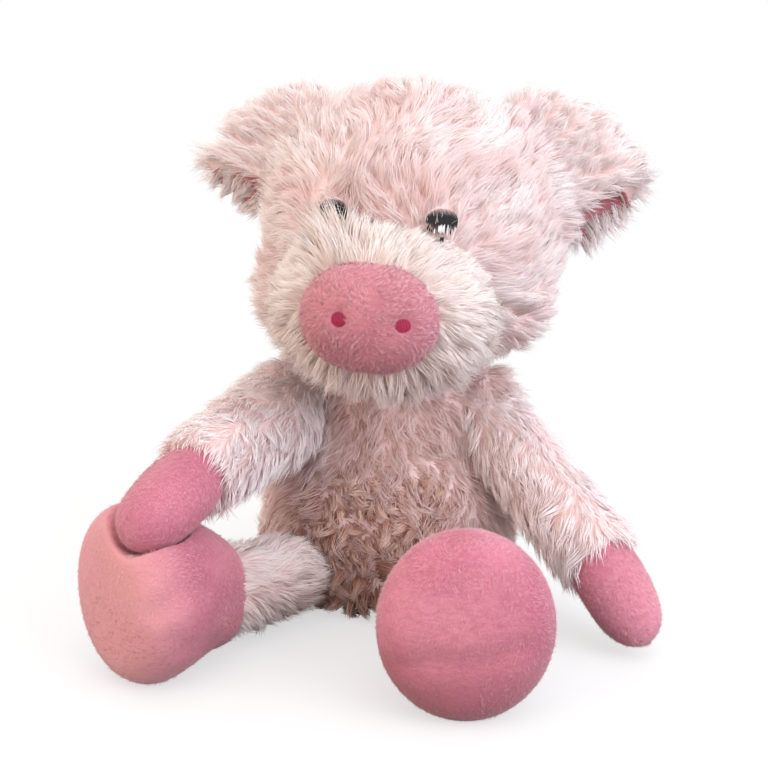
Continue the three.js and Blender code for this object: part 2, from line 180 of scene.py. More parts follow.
class Finish:
    """The nodes of a material, or of the world."""

    def __init__(self, name, holders=bpy.data.materials):
        self.holder = holders.new(name)
        self.holder.use_nodes = True
        self.tree = self.holder.node_tree
        self.tree.nodes.clear()

    def node(self, kind, sockets={}, out=0, **settings):
        """A node of this kind, with its settings and its sockets' values or links."""
        made = self.tree.nodes.new("ShaderNode" + kind)
        for key, value in settings.items():
            if key == "stops":
                elements = made.color_ramp.elements
                while len(elements) < len(value):
                    elements.new(0.5)
                for element, (at, colour) in zip(elements, value):
                    element.position = at
                    element.color = colour
            else:
                setattr(made, key, value)
        for key, value in sockets.items():
            if isinstance(value, Socket):
                self.tree.links.new(value.out, made.inputs[key])
            else:
                made.inputs[key].default_value = value
        return Socket(self, made.outputs[out]) if made.outputs else None

    def mix(self, share, first, second):
        """Two colours mixed by a share."""
        return self.node("Mix", {0: share, 6: first, 7: second}, 2, data_type="RGBA")

    def surface(self, **sockets):
        """The finished material, from the Principled shader's sockets."""
        named = {key.replace("_", " "): value for key, value in sockets.items()}
        self.node("OutputMaterial", {"Surface": self.node("BsdfPrincipled", named)})
        return self.holder


def dyed(red, green, blue):
    """A colour, given as it looks from 0 to 255."""
    return tuple(((c / 255 + 0.055) / 1.055) ** 2.4 for c in (red, green, blue)) + (1.0,)


def fur_finish(name, root, middle, tip, deep):
    """Pile that pales from root to tip. Its map runs across the strands' shades and along each strand."""
    fur = Finish(name)
    place = fur.node("UVMap", uv_map="OFBake")
    shade = fur.node("SeparateXYZ", {0: place}, 0)
    along = fur.node("SeparateXYZ", {0: place}, 1)
    stops = [(0.0, dyed(*root)), (0.45, dyed(*middle)), (0.95, dyed(*tip))]
    hair = fur.node("ValToRGB", {0: along}, stops=stops)
    # Low shades mix towards the deep colour; in some piles their tones include painted shade.
    deepened = fur.mix((1 - shade) * (0.95 - 0.45 * along), hair, dyed(*deep))
    bright = fur.node("MapRange", {0: shade, 3: 0.94, 4: 1.03})
    coloured = fur.node("HueSaturation", {"Value": bright, "Color": deepened})
    return fur.surface(Base_Color=coloured, Roughness=0.75, Sheen_Weight=0.25, Sheen_Roughness=0.6)


def backing_finish(name, colour, deep):
    """The knitted backing at the roots of the pile."""
    knit = Finish(name)
    place = knit.node("TexCoord", out=3)
    patches = knit.node("TexNoise", {"Vector": place, "Scale": 45.0, "Detail": 3.0})
    loops = knit.node("TexVoronoi", {"Vector": place, "Scale": 700.0})
    knitted = knit.mix(patches * 0.8 + loops * 0.5, dyed(*deep), dyed(*colour))
    return knit.surface(Base_Color=knitted, Roughness=0.9)


def waves(at, size, seed):
    """Smooth random values, about -1 to 1, that change over this many millimetres."""
    chance = np.random.default_rng(seed)
    way = chance.normal(size=(8, 3))
    way *= chance.uniform(0.6, 1.5, (8, 1)) / np.linalg.norm(way, axis=1, keepdims=True)
    return np.sin(at @ way.T * (math.pi / size) + chance.uniform(0, math.tau, 8)).sum(1) / 2.5


def unit(vectors):
    return vectors / np.maximum(np.linalg.norm(vectors, axis=-1, keepdims=True), 1e-12)


def ways(x, y, z):
    """Directions from their three parts, each one value or one for each place."""
    return np.stack(np.broadcast_arrays(x, y, z), 1)


def ramp(low, high, values):
    """From 0 at low to 1 at high, smoothly."""
    share = np.clip((values - low) / (high - low), 0, 1)
    return share * share * (3 - 2 * share)


def hump(*offsets):
    """1 where all the offsets are nought, and next to nothing where one is past 2."""
    return np.exp(-sum(offset**2 for offset in offsets))


def turned_about(vectors, axes, angles):
    """Vectors at right angles to their axes, turned about them."""
    return vectors * np.cos(angles)[:, None] + np.cross(axes, vectors) * np.sin(angles)[:, None]


def roots_on(skin, per_mm2, chance):
    """Points spread evenly over a skin, and the way that it faces there."""
    mesh = skin.data
    mesh.calc_loop_triangles()
    corners = np.empty(len(mesh.loop_triangles) * 3, np.int32)
    mesh.loop_triangles.foreach_get("vertices", corners)
    corners = corners.reshape(-1, 3)
    place, facing = np.empty((2, len(mesh.vertices) * 3), np.float32)
    mesh.vertices.foreach_get("co", place)
    mesh.vertices.foreach_get("normal", facing)
    place, facing = place.reshape(-1, 3).astype(float), facing.reshape(-1, 3).astype(float)
    a, b, c = place[corners].transpose(1, 0, 2)
    reached = np.cumsum(np.linalg.norm(np.cross(b - a, c - a), axis=1) / 2)
    count = int(reached[-1] / mm**2 * per_mm2)
    at = (np.arange(count) + chance.random(count)) / count * reached[-1]
    chosen = corners[np.minimum(np.searchsorted(reached, at), len(corners) - 1)]
    u, v = chance.random((2, count))
    u, v = np.where(u + v > 1, 1 - u, u), np.where(u + v > 1, 1 - v, v)
    share = np.stack([1 - u - v, u, v], 1)[:, :, None]
    return (place[chosen] * share).sum(1), unit((facing[chosen] * share).sum(1))


def strand_mesh(name, lines, facing, widths, shades, bulge):
    """A mesh of tapered three-sided strands along these lines, shaded as the soft lock that they lie in."""
    count, rings = len(lines), lines.shape[1] - 1
    along = unit(np.gradient(lines, axis=1))
    across = unit(np.cross(along, facing[:, None]))
    over = np.cross(along, across)
    angles = np.radians((270, 30, 150))
    taper = np.interp(np.linspace(0, 1, rings + 1), (0, 0.4, 0.75, 1), (0.8, 1, 0.8, 0))[:rings]
    reach = (widths[:, None] * taper)[:, :, None, None] / 2
    spread = across[:, :rings, None] * np.cos(angles)[:, None]
    spread = spread + strand_flatness * over[:, :rings, None] * np.sin(angles)[:, None]
    around = lines[:, :rings, None] + reach * spread
    size = rings * 3 + 1
    places = np.concatenate([around.reshape(count, -1, 3), lines[:, -1:]], 1)
    corners, starts = [], []  # each corner: its vertex, its two places on the map, its ring and side
    for ring in range(rings):
        for side in range(3):
            low, beside = ring * 3 + side, ring * 3 + (side + 1) % 3
            starts.append(len(corners))
            corners += [(low, 0, ring, ring, side), (beside, 1, ring, ring, side)]
            ends = [(beside + 3, 1), (low + 3, 0)] if ring < rings - 1 else [(size - 1, 0.5)]
            corners += [(*end, ring + 1, ring + 1, side) for end in ends]
    starts.append(len(corners))
    corners += [(2, 0, 0, 0, 1), (1, 1, 0, 0, 1), (0, 0.5, 0.2, 0, 1)]
    faces, across_map, along_map, corner_rings, corner_sides = zip(*corners)
    mesh = bpy.data.meshes.new(name)
    mesh.vertices.add(count * size)
    mesh.vertices.foreach_set("co", places.astype(np.float32).ravel())
    mesh.loops.add(count * len(faces))
    steps = np.arange(count)[:, None]
    mesh.loops.foreach_set("vertex_index", (np.array(faces) + steps * size).astype(np.int32).ravel())
    mesh.polygons.add(count * len(starts))
    mesh.polygons.foreach_set("loop_start", (np.array(starts) + steps * len(faces)).astype(np.int32).ravel())
    mesh.update(calc_edges=True)
    mesh.shade_smooth()
    soft = np.empty((count, len(faces), 3))
    for i, (ring, side) in enumerate(zip(corner_rings, corner_sides)):
        if side == 1:
            soft[:, i] = over[:, ring] + 0.3 * facing
        else:
            outer = across[:, ring] * (1 - side) * 0.8 - over[:, ring] * 0.6
            soft[:, i] = facing + bulge + 0.5 * outer
    mesh.normals_split_custom_set(unit(soft).reshape(-1, 3))
    placed = np.empty((count, len(faces), 2), np.float32)
    placed[:, :, 0] = shades[:, None] + np.array(across_map) * 0.01
    placed[:, :, 1] = np.array(along_map) / rings
    mesh.uv_layers.new(name="OFBake").data.foreach_set("uv", placed.ravel())
    return mesh


def dressed(piece, body, finish, slot, *nodes, fill=None):
    """A piece's finish, the body that it goes with and the solids that it stands for. How full it is (fill)
    is not used.
    """
    piece.data.materials.clear()
    piece.data.materials.append(finish)
    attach(piece, body)
    if nodes:
        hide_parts(*nodes)


def worked_out(value, at):
    """One value for all places, or what a function gives for these places."""
    return value(at) if callable(value) else value


def pile(name, body, skin, finish, slot, comb, *, per_mm2, length, width, lift=40, tip_lift=12, swirl,
         whorl=22, curl=20, droop=0.0, lock=4.2, gather=0.6, keep=None, tone=0.0, reach=1.0, stand=0.0,
         clear=(), patch=14, blotch=0.16, mottle=1.0, segments=2, parts=1, seed):
    """Strands of fur on a skin, in locks that lie the way that comb gives, split into parts about z.

    Lengths are in millimetres and angles in degrees. A strand rises by lift at its root and by tip_lift at
    its tip, turns aside by swirl, bends sideways by curl, hangs by droop and is gathered to the middle of
    its lock. keep is the share that grows, reach lengthens strands, stand raises them, and clear lists balls
    that they part round. Shades vary about tone, over patches by blotch and between locks by mottle.
    """
    standing = (80, 60)  # the rise at root and tip where stand is 1
    chance = np.random.default_rng(seed)
    root, facing = roots_on(skin, per_mm2, chance)
    if keep:
        kept = keep(root / mm, facing) > chance.random(len(root))
        root, facing = root[kept], facing[kept]
    count, at = len(root), root / mm
    middles = chance.choice(count, max(1, int(count / per_mm2 / lock**2)), replace=False)
    tree = KDTree(len(middles))
    for i, place in enumerate(root[middles]):
        tree.insert(place, i)
    tree.balance()
    lock_of = np.array([tree.find(place)[1] for place in root])
    guide = root[middles][lock_of]

    def of_lock(low, high):
        return chance.uniform(low, high, len(middles))[lock_of]

    lie = np.asarray(worked_out(comb, guide / mm), float)
    lie = unit(lie - (lie * facing).sum(1, keepdims=True) * facing)
    heading = swirl * waves(guide / mm, whorl, seed + 50) + of_lock(-18, 18) + chance.normal(0, 6, count)
    lie = turned_about(lie, facing, np.radians(heading))
    long = length * mm * of_lock(0.8, 1.12) * chance.uniform(0.72, 1.05, count) * worked_out(reach, at)
    rise = lift + of_lock(-8, 10) + chance.normal(0, 6, count)
    end_rise = tip_lift + of_lock(-10, 12)
    up = worked_out(stand, at)
    rise, end_rise = rise + (standing[0] - rise) * up, end_rise + (standing[1] - end_rise) * up
    bend = np.radians(curl) * of_lock(-1, 1)
    line = [root - facing * root_depth * mm]
    for step in range(segments):
        share = (step + 0.5) / segments
        angle = np.radians(rise + (end_rise - rise) * share)[:, None]
        way = turned_about(lie, facing, bend * share) * np.cos(angle) + facing * np.sin(angle)
        way = unit(way + droop * share * np.array((0, 0, -1.0)))
        line.append(line[-1] + way * (long / segments)[:, None])
    lines = np.stack(line, 1)
    drawn = np.broadcast_to(worked_out(gather, at), count)[:, None, None]
    lines -= (root - guide)[:, None] * drawn * (np.linspace(0, 1, segments + 1) ** 1.3)[:, None]
    for middle, radius in clear:
        off = lines[:, 1:] - middle * mm
        far = np.linalg.norm(off, axis=2, keepdims=True)
        lines[:, 1:] += off / far * np.maximum(radius * mm - far, 0)
    lines[:, :, 2] = np.maximum(lines[:, :, 2], floor_gap * mm)
    uneven = of_lock(-0.1, 0.1) + chance.normal(0, 0.05, count)
    shade = 0.5 + blotch * waves(at, patch, seed + 9) + mottle * uneven + worked_out(tone, at)
    shade = np.clip(shade, 0.0, 0.99)
    widths = width * mm * chance.uniform(0.75, 1.2, count)
    bulge = 0.5 * (root - guide) / (lock / 2 * mm)
    centre = root.mean(0)
    order = np.argsort(np.arctan2(root[:, 0] - centre[0], centre[1] - root[:, 1]))
    for i, rows in enumerate(np.array_split(order, parts)):
        label = name if parts == 1 else f"{name}_{i + 1}"
        strands = strand_mesh(label, lines[rows], facing[rows], widths[rows], shade[rows], bulge[rows])
        dressed(added(label, strands), body, finish, slot)


def down_the_chest(at):
    """The pile lies down and a little outwards, and turns inwards low on the belly."""
    x, _, z = at.T
    low = ramp(55, 20, z)[:, None]
    return ways(x * 0.006, 0.0, -1.0) * (1 - low) + ways(0.4 - x * 0.008, 0.0, 0.2) * low


def matted(at):
    """Where the pile is matted into curls, on the belly above and between the legs."""
    x, y, z = at.T
    return ramp(-30, -40, y) * ramp(75, 58, z) * ramp(42, 28, np.abs(x + 11))


def shown_of_torso(at, facing):
    """Little pile grows on the underside or among the curls, and none where the neck covers the top."""
    x, y, z = at.T
    under = np.where((facing[:, 2] < -0.75) & (z < 12), 0.25, 1.0)
    by_neck = (z > torso_height - 1) & (np.hypot(x - neck_pivot[0], y) < neck_cover)
    return np.where(by_neck, 0.0, under) * (1 - 0.6 * matted(at))


def torso_tone_and_shade(at):
    """The chest's pile, and more so the belly's, shows its brownish roots and painted shade under the head.
    """
    x, y, z = at.T
    front = ramp(-10, -45, y) * ramp(50, 30, np.abs(x - 2))
    return 0.3 - front * (0.46 + 0.36 * ramp(75, 35, z))


def curled_down(at):
    tangled = 0.8 * ways(waves(at, 9, 3), 0.0, waves(at, 9, 4))
    return ways(at[:, 0] * 0.012, 0.0, -1.0) + tangled


def shown_of_curls(at, facing):
    return matted(at) * (at[:, 2] > 4)


# Darker towards the bottom of the belly: partly the curls' own matted colour, partly painted shade.
def curl_tone_and_shade(at):
    return 0.25 - 0.45 * ramp(68, 35, at[:, 2])


leaning = Matrix(((1, 0, torso_lean, 0), (0, 1, 0, 0), (0, 0, 1, 0), (0, 0, 0, 1)))
pear = turned([(0, -0.5), (54, -0.5), (66, 33), (50, 80), (0, torso_height)])
pear = moved(moved(pear, Matrix.Diagonal((1, torso_flatness, 1, 1))), leaning)
neck_root = ball((30, 30, 30), neck_pivot)
shoulders = ball((58, 33, 26), (4, -6, 91))
left_shoulder = ball((24, 20, 24), (45, -12, 94))
torso_forms = [pear, neck_root, shoulders, left_shoulder]
torso = stuffed("torso_skin_fur_backing", torso_forms, fineness=3.5, taken_in=pile_depth)
on_floor(torso, 0.6)
pink_backing = backing_finish("pink fur backing", (247, 222, 219), (236, 200, 196))
torso_nodes = ("torso_skin", "torso_stuffing", "seat_pellet_bag")
dressed(torso, "torso", pink_backing, "pink_fur", *torso_nodes, fill=0.65)
body_fur = fur_finish("torso fur", (240, 207, 202), (248, 224, 220), (253, 238, 236), (176, 110, 90))
pile("torso_fur", "torso", torso, body_fur, "pink_fur", down_the_chest, per_mm2=0.6, length=12.5, width=0.46,
     swirl=38, whorl=20, curl=50, tip_lift=10, lock=4.6, gather=0.72, keep=shown_of_torso, tone=torso_tone_and_shade,
     parts=2, seed=11)
# The belly's deep brown is partly the matted fur's own colour and partly painted shade.
matted_fur_and_shade = fur_finish("belly fur", (164, 106, 84), (210, 160, 142), (246, 220, 208), (148, 90, 68))
pile("belly_curls", "torso", torso, matted_fur_and_shade, "pink_fur", curled_down, per_mm2=1.0, length=11, width=0.46,
     swirl=40, whorl=9, curl=100, lift=52, tip_lift=-2, lock=5.0, gather=1.0, blotch=0.2, mottle=2.2,
     segments=3, keep=shown_of_curls, tone=curl_tone_and_shade, seed=15)


# Neck. The seam allowances of the torso and the head are folded inside as a soft ring, whose pile fills the
# crease under the head.
def copied(node):
    """The faces of a solid, as a form that a soft skin goes round."""
    bm = bmesh.new()
    bm.from_mesh(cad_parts[node].data)
    bmesh.ops.remove_doubles(bm, verts=bm.verts, dist=1e-6)
    return bm


def outside_of_neck(at, facing):
    outwards = (unit(at - (6, -2, 100)) * facing).sum(1)
    return (facing[:, 2] < 0.8) & (outwards > 0.2)


neck = stuffed("neck_seam_fold", [copied("neck_seam")], ease=2)
dressed(neck, "neck", pink_backing, "seam_tape", "neck_seam")
pile("neck_fur", "neck", neck, body_fur, "pink_fur", down_the_chest, per_mm2=0.7, length=9, width=0.5,
     swirl=20, lift=30, tip_lift=10, lock=4, keep=outside_of_neck, tone=0.15, seed=17)


# Head. A round stuffed form of the same long-pile fabric, with full cheeks, sewn from panels whose seams the
# pile hides. Its pile parts round the eyes and runs back from the face.
head_turn = -11  # degrees, towards the pig's right
head_tilt = 5  # degrees, towards its left shoulder
muzzle_centre = (0, -61, 58)
eye_spots = [np.array((side * 22.5, -67, 95)) for side in (-1, 1)]  # the right eye, then the left
eye_partings = [((-1.5, 0, 1.0), 2.4), ((-0.5, 0, 4), 7.8)]  # from each eye's middle, and how wide


def rotated(degrees, axis):
    return Matrix.Rotation(math.radians(degrees), 4, axis)


head_place = Matrix.Translation(Vector(neck_pivot) * mm) @ rotated(head_turn, "Z") @ rotated(head_tilt, "Y")


def seen_in(place, at):
    """Places of the toy, in millimetres, as they lie in another frame."""
    back = np.array(place.inverted())
    return at @ back[:3, :3].T + back[:3, 3] / mm


def on_head(at):
    return seen_in(head_place, at)


def out_of(place, vectors):
    """Directions of another frame as they lie in the toy's frame."""
    return vectors @ np.array(place)[:3, :3].T


def over_right_eye(at):
    """The fluff on the outer side of the right eye."""
    x, y, z = (on_head(at) - eye_spots[0]).T
    return hump((x + 7) / 4, (z - 3) / 7) * (y < 30)


def back_from_the_face(at):
    """The pile runs out from the bridge of the nose, over the crown and cheeks, and down the back."""
    own = on_head(at)
    x, y, z = own.T
    front = ramp(30, -20, y)[:, None]
    way = unit(ways(x, 25.0, z - 64)) * front + unit(ways(x * 0.003, 0.1, -1.0)) * (1 - front)
    for spot in eye_spots:
        aside, _, above = (own - spot).T
        way = way + ways(0.0, 0.0, 2.5 * hump(aside / 8, (above + 9) / 5))
    aside, _, above = (own - eye_spots[0]).T
    beside = 2 * hump((aside + 8) / 5, (above - 3) / 8) * (y < 0)
    return out_of(head_place, way + ways(beside, 0.0, -0.5 * beside))


def standing_by_the_ears(at):
    """The pile stands up in front of the ears, and fluffs over the right eye."""
    x, y, z = on_head(at).T
    from_seam = np.abs(x) - ear_base[0] - (ear_base[2] - z) * ear_slope
    by_ears = hump(from_seam / 9) * ramp(80, 95, z) * (np.abs(y) < 22)
    return by_ears + 0.5 * over_right_eye(at)


def longer_over_the_eye(at):
    return 1 + 0.45 * over_right_eye(at)


def shown_of_head(at, facing):
    """No pile grows under the muzzle, on the eyes or inside the neck, and the back carries less."""
    own = on_head(at)
    x, y, z = own.T
    muzzle = np.linalg.norm((own - muzzle_centre) / (45, 33, 33), axis=1) < 1
    neck = (np.hypot(x, y) < 26) & (z < 40)
    eyes = np.min([np.linalg.norm(own - spot - (0, 0, 1.5), axis=1) for spot in eye_spots], axis=0) < 5.8
    return np.where(muzzle | neck | eyes, 0.0, 1 - 0.32 * ramp(0, 30, y))


def head_tone(at):
    """The bridge of the nose is pinker."""
    x, y, z = on_head(at).T
    return 0.14 - 0.3 * hump(x / 20, (z - 100) / 22) * (y < 0)


ear_base = (57, 2, 117)  # the middle of the seam of the left ear
ear_slope = 0.6  # how far that seam runs outwards for each millimetre down
skull = ball((73.3, 66, 70.5), (1.5, -6, 85.3))
cheeks = [ball((33, 30, 29), (40.3, -18, 62)), ball((35, 30, 32), (-35.4, -24, 56))]
head_forms = [moved(form, head_place) for form in (skull, *cheeks)]
head = stuffed("head_skin_fur_backing", head_forms, fineness=3.2, taken_in=pile_depth)
dressed(head, "head", pink_backing, "pink_fur", "head_skin", "head_stuffing", fill=0.8)
head_fur = fur_finish("head fur", (247, 226, 223), (250, 236, 234), (252, 244, 243), (239, 194, 189))
parted = [(np.array(head_place @ Vector((spot + off) * mm)) / mm, radius)
          for spot, (off, radius) in zip(eye_spots, eye_partings)]
pile("head_fur", "head", head, head_fur, "pink_fur", back_from_the_face, per_mm2=1.08, length=12.5,
     width=0.37, swirl=26, whorl=26, curl=30, lift=35, tip_lift=8, gather=0.5, keep=shown_of_head,
     tone=head_tone, clear=parted, patch=11, blotch=0.26, mottle=0.6, reach=longer_over_the_eye,
     stand=standing_by_the_ears, parts=4, seed=21)


# Muzzle. A pad of cream long-pile fabric round the snout, whose straight strands stand out all round it like
# a ruff and hang like a beard below.
def out_from_the_snout(at):
    x, _, z = on_head(at).T
    low = ramp(62, 35, z)[:, None]
    return out_of(head_place, unit(ways(x, 12.0, (z - 57) * 1.15)) + low * np.array((0, -0.15, -0.3)))


def shown_of_muzzle(at, facing):
    """No pile grows under the snout, or where the pad is sewn to the head."""
    x, y, z = on_head(at).T
    snout = (np.hypot(x / 24.5, (z - 57) / 18.5) < 1) & (y < -60)
    return ~(snout | (y > -42))


def longer_below(at):
    """The beard hangs long, and the fluff on top rises over the lower edge of the right eye."""
    x, _, z = on_head(at).T
    return 0.78 + 0.47 * ramp(70, 30, z) + hump((x + 20) / 9) * ramp(70, 85, z)


def standing_on_top(at):
    x, _, z = on_head(at).T
    return 0.6 * hump((x + 21) / 11) * ramp(70, 85, z)


def loose_on_top(at):
    """The locks of the ruff run together on top, and are drawn to points at the sides and below."""
    return 0.85 - 0.7 * ramp(56, 74, on_head(at)[:, 2])


pad = ball((50, 37, 38), muzzle_centre)
pad_parts = [*pad.verts, *pad.edges, *pad.faces]
bmesh.ops.bisect_plane(pad, geom=pad_parts, plane_co=(0, -40 * mm, 0), plane_no=(0, 1, 0), clear_outer=True)
bmesh.ops.holes_fill(pad, edges=[edge for edge in pad.edges if edge.is_boundary])
muzzle = stuffed("muzzle_skin_fur_backing", [moved(pad, head_place)], ease=4, taken_in=pile_depth)
cream_backing = backing_finish("cream fur backing", (248, 232, 224), (234, 208, 200))
dressed(muzzle, "head", cream_backing, "pale_fur", "muzzle_skin", fill=0.75)
muzzle_fur = fur_finish("muzzle fur", (236, 216, 208), (245, 231, 225), (250, 242, 239), (226, 200, 190))
pile("muzzle_fur", "head", muzzle, muzzle_fur, "pale_fur", out_from_the_snout, per_mm2=1.4, length=14,
     width=0.37, swirl=10, whorl=14, curl=18, tip_lift=8, droop=0.25, lock=4.0, gather=loose_on_top,
     keep=shown_of_muzzle, tone=0.22, mottle=0.5, reach=longer_below, stand=standing_on_top, parts=2,
     seed=31)


# Snout. A domed oval of short deep-pink pile, sewn into the muzzle and stuffed firm. Its nap is dented round
# the nostrils.
nostril_spots = [np.array((3.5 + side * 12.5, 57)) for side in (-1, 1)]  # across and up, right then left


def plush_finish(name, colour, deep, pale, patch=40, rippled=0.0, fades=()):
    """Short close pile, darker where it is rubbed the wrong way and where ripples part it.

    Each of its fades is a way, the distances along it where a tint begins and is full, and the tint.
    """
    nap = Finish(name)
    place = nap.node("TexCoord", out=3)
    patches = nap.node("TexNoise", {"Vector": place, "Scale": patch, "Detail": 1.5, "Distortion": 0.6})
    fibres = nap.node("TexNoise", {"Vector": place, "Scale": 900.0, "Detail": 2.0})
    rubbed = nap.node("MapRange", {0: patches, 1: 0.35, 2: 0.65})
    cloth = nap.mix(rubbed, dyed(*deep), dyed(*colour))
    cloth = nap.mix(nap.node("MapRange", {0: fibres, 1: 0.4, 2: 0.8, 4: 0.5}), cloth, dyed(*pale))
    drawn_out = nap.node("VectorMath", {0: place, 1: (0.5, 1, 1.1)}, operation="MULTIPLY")
    streaks = {"Vector": drawn_out, "Scale": 520.0, "Detail": 1.0, "Distortion": 0.4}
    ripples = nap.node("TexNoise", streaks)
    dark = nap.node("MapRange", {0: ripples, 1: 0.62, 2: 0.36, 4: rippled})
    cloth = nap.mix(dark, cloth, dyed(*deep))
    for way, start, end, tint in fades:
        along = nap.node("VectorMath", {0: place, 1: way}, 1, operation="DOT_PRODUCT")
        cloth = nap.mix(nap.node("MapRange", {0: along, 1: start, 2: end}), cloth, dyed(*tint))
    height = fibres * 0.6 + ripples * 1.2
    rough = nap.node("Bump", {"Strength": 0.4, "Distance": 0.0007, "Height": height})
    return nap.surface(Base_Color=cloth, Roughness=0.85, Normal=rough, Sheen_Weight=0.3, Sheen_Roughness=0.5)


def from_nostrils(at):
    """How far places are from the nearer nostril, across the front of the snout."""
    own = on_head(at)
    return np.min([np.linalg.norm(own[:, [0, 2]] - spot, axis=1) for spot in nostril_spots], axis=0)


def shown_of_snout(at, facing):
    return (from_nostrils(at) >= 3.2) & (on_head(at)[:, 1] <= -82)


def over_the_snout(at):
    x, _, z = on_head(at).T
    ruffled = 6 * ways(waves(at, 6, 7), 0.0, waves(at, 6, 8))
    return out_of(head_place, ways(x * 0.6, 0.0, z - 56) + ruffled)


def snout_tone_and_shade(at):
    """The nap is painted darker round the nostrils and under the snout, as shade."""
    by_nostrils = np.exp(-((from_nostrils(at) / 4.2) ** 4))
    return 0.1 - 0.5 * by_nostrils - 0.25 * ramp(52, 38, on_head(at)[:, 2])


snout_forms = [moved(ball((25.5, 17, 22.3), (side * 3.2, -88, 56.4)), head_place) for side in (-1, 1)]
snout = stuffed("snout_skin_plush", snout_forms, fineness=1.5, ease=2, taken_in=0.8)
for v in snout.data.vertices:
    at = head_place.inverted() @ v.co
    near = min(math.hypot(at.x - x * mm, at.z - z * mm) for x, z in nostril_spots) / mm
    at.y += 1.8 * mm * math.exp(-((near / 3.6) ** 2)) * (at.y < -90 * mm)
    v.co = head_place @ at
snout_plush = plush_finish("snout plush", (196, 120, 132), (174, 102, 116), (214, 142, 150))
dressed(snout, "head", snout_plush, "snout_plush", "snout_skin", fill=0.9)
snout_nap = fur_finish("snout nap", (168, 96, 110), (222, 154, 163), (246, 196, 202), (160, 92, 106))
pile("snout_nap", "head", snout, snout_nap, "snout_plush", over_the_snout, per_mm2=4.8, length=3.8,
     width=0.27, swirl=24, whorl=12, lift=32, tip_lift=14, lock=1.4, gather=0.95, mottle=3.0,
     keep=shown_of_snout, tone=snout_tone_and_shade, patch=24, segments=1, seed=41)


# Nostrils. Each is a small round of crimson satin stitch, embroidered through the snout's fabric and drawn a
# little way into its pile.
snout_oval = ((0, -88, 57), (28, 17, 22))  # middle and radii of the snout's solid, in the head's frame


def on_oval(centre, radii, x, z):
    """How far forward the front of an oval form lies at a place across and up it."""
    room = 1 - ((x / mm - centre[0]) / radii[0]) ** 2 - ((z / mm - centre[2]) / radii[2]) ** 2
    return (centre[1] - radii[1] * math.sqrt(max(room, 0))) * mm


def satin(name, finish, slot, node, middle, rows, thread, oval, sunk):
    """Rows of stitches on the face, each a plump thread from one end to the other, laid on an oval form."""
    bm = bmesh.new()
    for x, low, high in rows:
        made = bmesh.ops.create_uvsphere(bm, u_segments=8, v_segments=8, radius=1)["verts"]
        half = (high - low) / 2 * mm
        bmesh.ops.scale(bm, vec=(thread * 0.58 * mm, thread * 0.5 * mm, half), verts=made)
        place = ((middle[0] + x) * mm, 0, (middle[1] + (low + high) / 2) * mm)
        bmesh.ops.translate(bm, vec=place, verts=made)
    for v in bm.verts:
        v.co.y += on_oval(*oval, v.co.x, v.co.z) + sunk * mm
    mesh = as_mesh(name, moved(bm, head_place))
    mesh.shade_smooth()
    dressed(added(name, mesh), "head", finish, slot, node)


def rounded_rows(width, height, thread, chance, covered=0.0):
    """The ends of stitches that fill an oval, a little ragged, with this share covered from below."""
    ragged = 0.2
    count = int(width / thread)
    rows = []
    for i in range(count):
        x = (i + 0.5) / count * 2 - 1
        half = height / 2 * math.sqrt(1 - (x * 0.94) ** 2)
        low = -half * (1 - covered * chance.uniform(0.2, 1) * abs(x) ** 0.3) - chance.uniform(0, ragged)
        rows.append((x * width / 2, low, half + chance.uniform(0, ragged)))
    return rows


def thread_finish(name, colour, shade):
    """Glossy embroidery thread, with its twist as a fine bump."""
    thread = Finish(name)
    place = thread.node("TexCoord", out=3)
    strands = {"Vector": place, "Scale": 900.0, "Distortion": 3.0}
    twist = thread.node("TexWave", strands, bands_direction="Z")
    tint = thread.mix(twist * 0.6, dyed(*colour), dyed(*shade))
    fine = thread.node("Bump", {"Strength": 0.4, "Distance": 0.0002, "Height": twist})
    return thread.surface(Base_Color=tint, Roughness=0.42, Normal=fine)


nostril_thread = 0.55
crimson = thread_finish("crimson thread", (190, 34, 84), (128, 14, 50))
needle = np.random.default_rng(5)
for side, spot in zip(("right", "left"), nostril_spots):
    rows = rounded_rows(5.6, 6.4, nostril_thread, needle)
    satin(f"nostril_{side}_stitches", crimson, "crimson_thread", f"nostril_{side}", spot, rows,
          nostril_thread, snout_oval, 1.3)


# Eyes. Each is an oval of black satin stitch with a few white stitches low in its middle, and the pile of
# the face closes over its lower edge. Some black stitches of the left eye stray below the others.
head_oval = ((0, -6, 84), (73, 66, 69))  # middle and radii of the head's solid, in its own frame
eye_thread = 0.5
black = thread_finish("black thread", (22, 22, 27), (9, 9, 12))
white = thread_finish("white thread", (246, 246, 248), (214, 216, 222))
for side, spot in zip(("right", "left"), eye_spots):
    middle = (spot[0], spot[2])
    rows = rounded_rows(12.4, 11.4, eye_thread, needle, covered=0.9)
    satin(f"eye_{side}_stitches", black, "black_thread", f"eye_{side}", middle, rows, eye_thread, head_oval,
          -0.3)
    if side == "left":
        stray = [(x, -8.4 + needle.uniform(0, 1.5), -5.4) for x in (0.3, 0.8, 1.3)]
        stray += [(-5.2, -3.4, -1.6), (-4.4, -3.8, -2.2), (-3.5, -4.0, -2.6), (3.9, -4.6, -2.0)]
        satin("eye_left_stray_stitches", black, "black_thread", "eye_left", middle, stray, eye_thread,
              head_oval, -0.5)
    glint = [(x, -4.6 + needle.uniform(0, 0.8), -0.6 + needle.uniform(-0.8, 0.3))
             for x in (-0.8, -0.3, 0.2, 0.8, 1.3)]
    glint += [(2.7, -5.2, -0.4), (-2.4, -4.6, -2.6)]
    satin(f"eye_{side}_glint", white, "white_thread", f"eye_highlight_{side}", middle, glint, eye_thread,
          head_oval, -0.9)


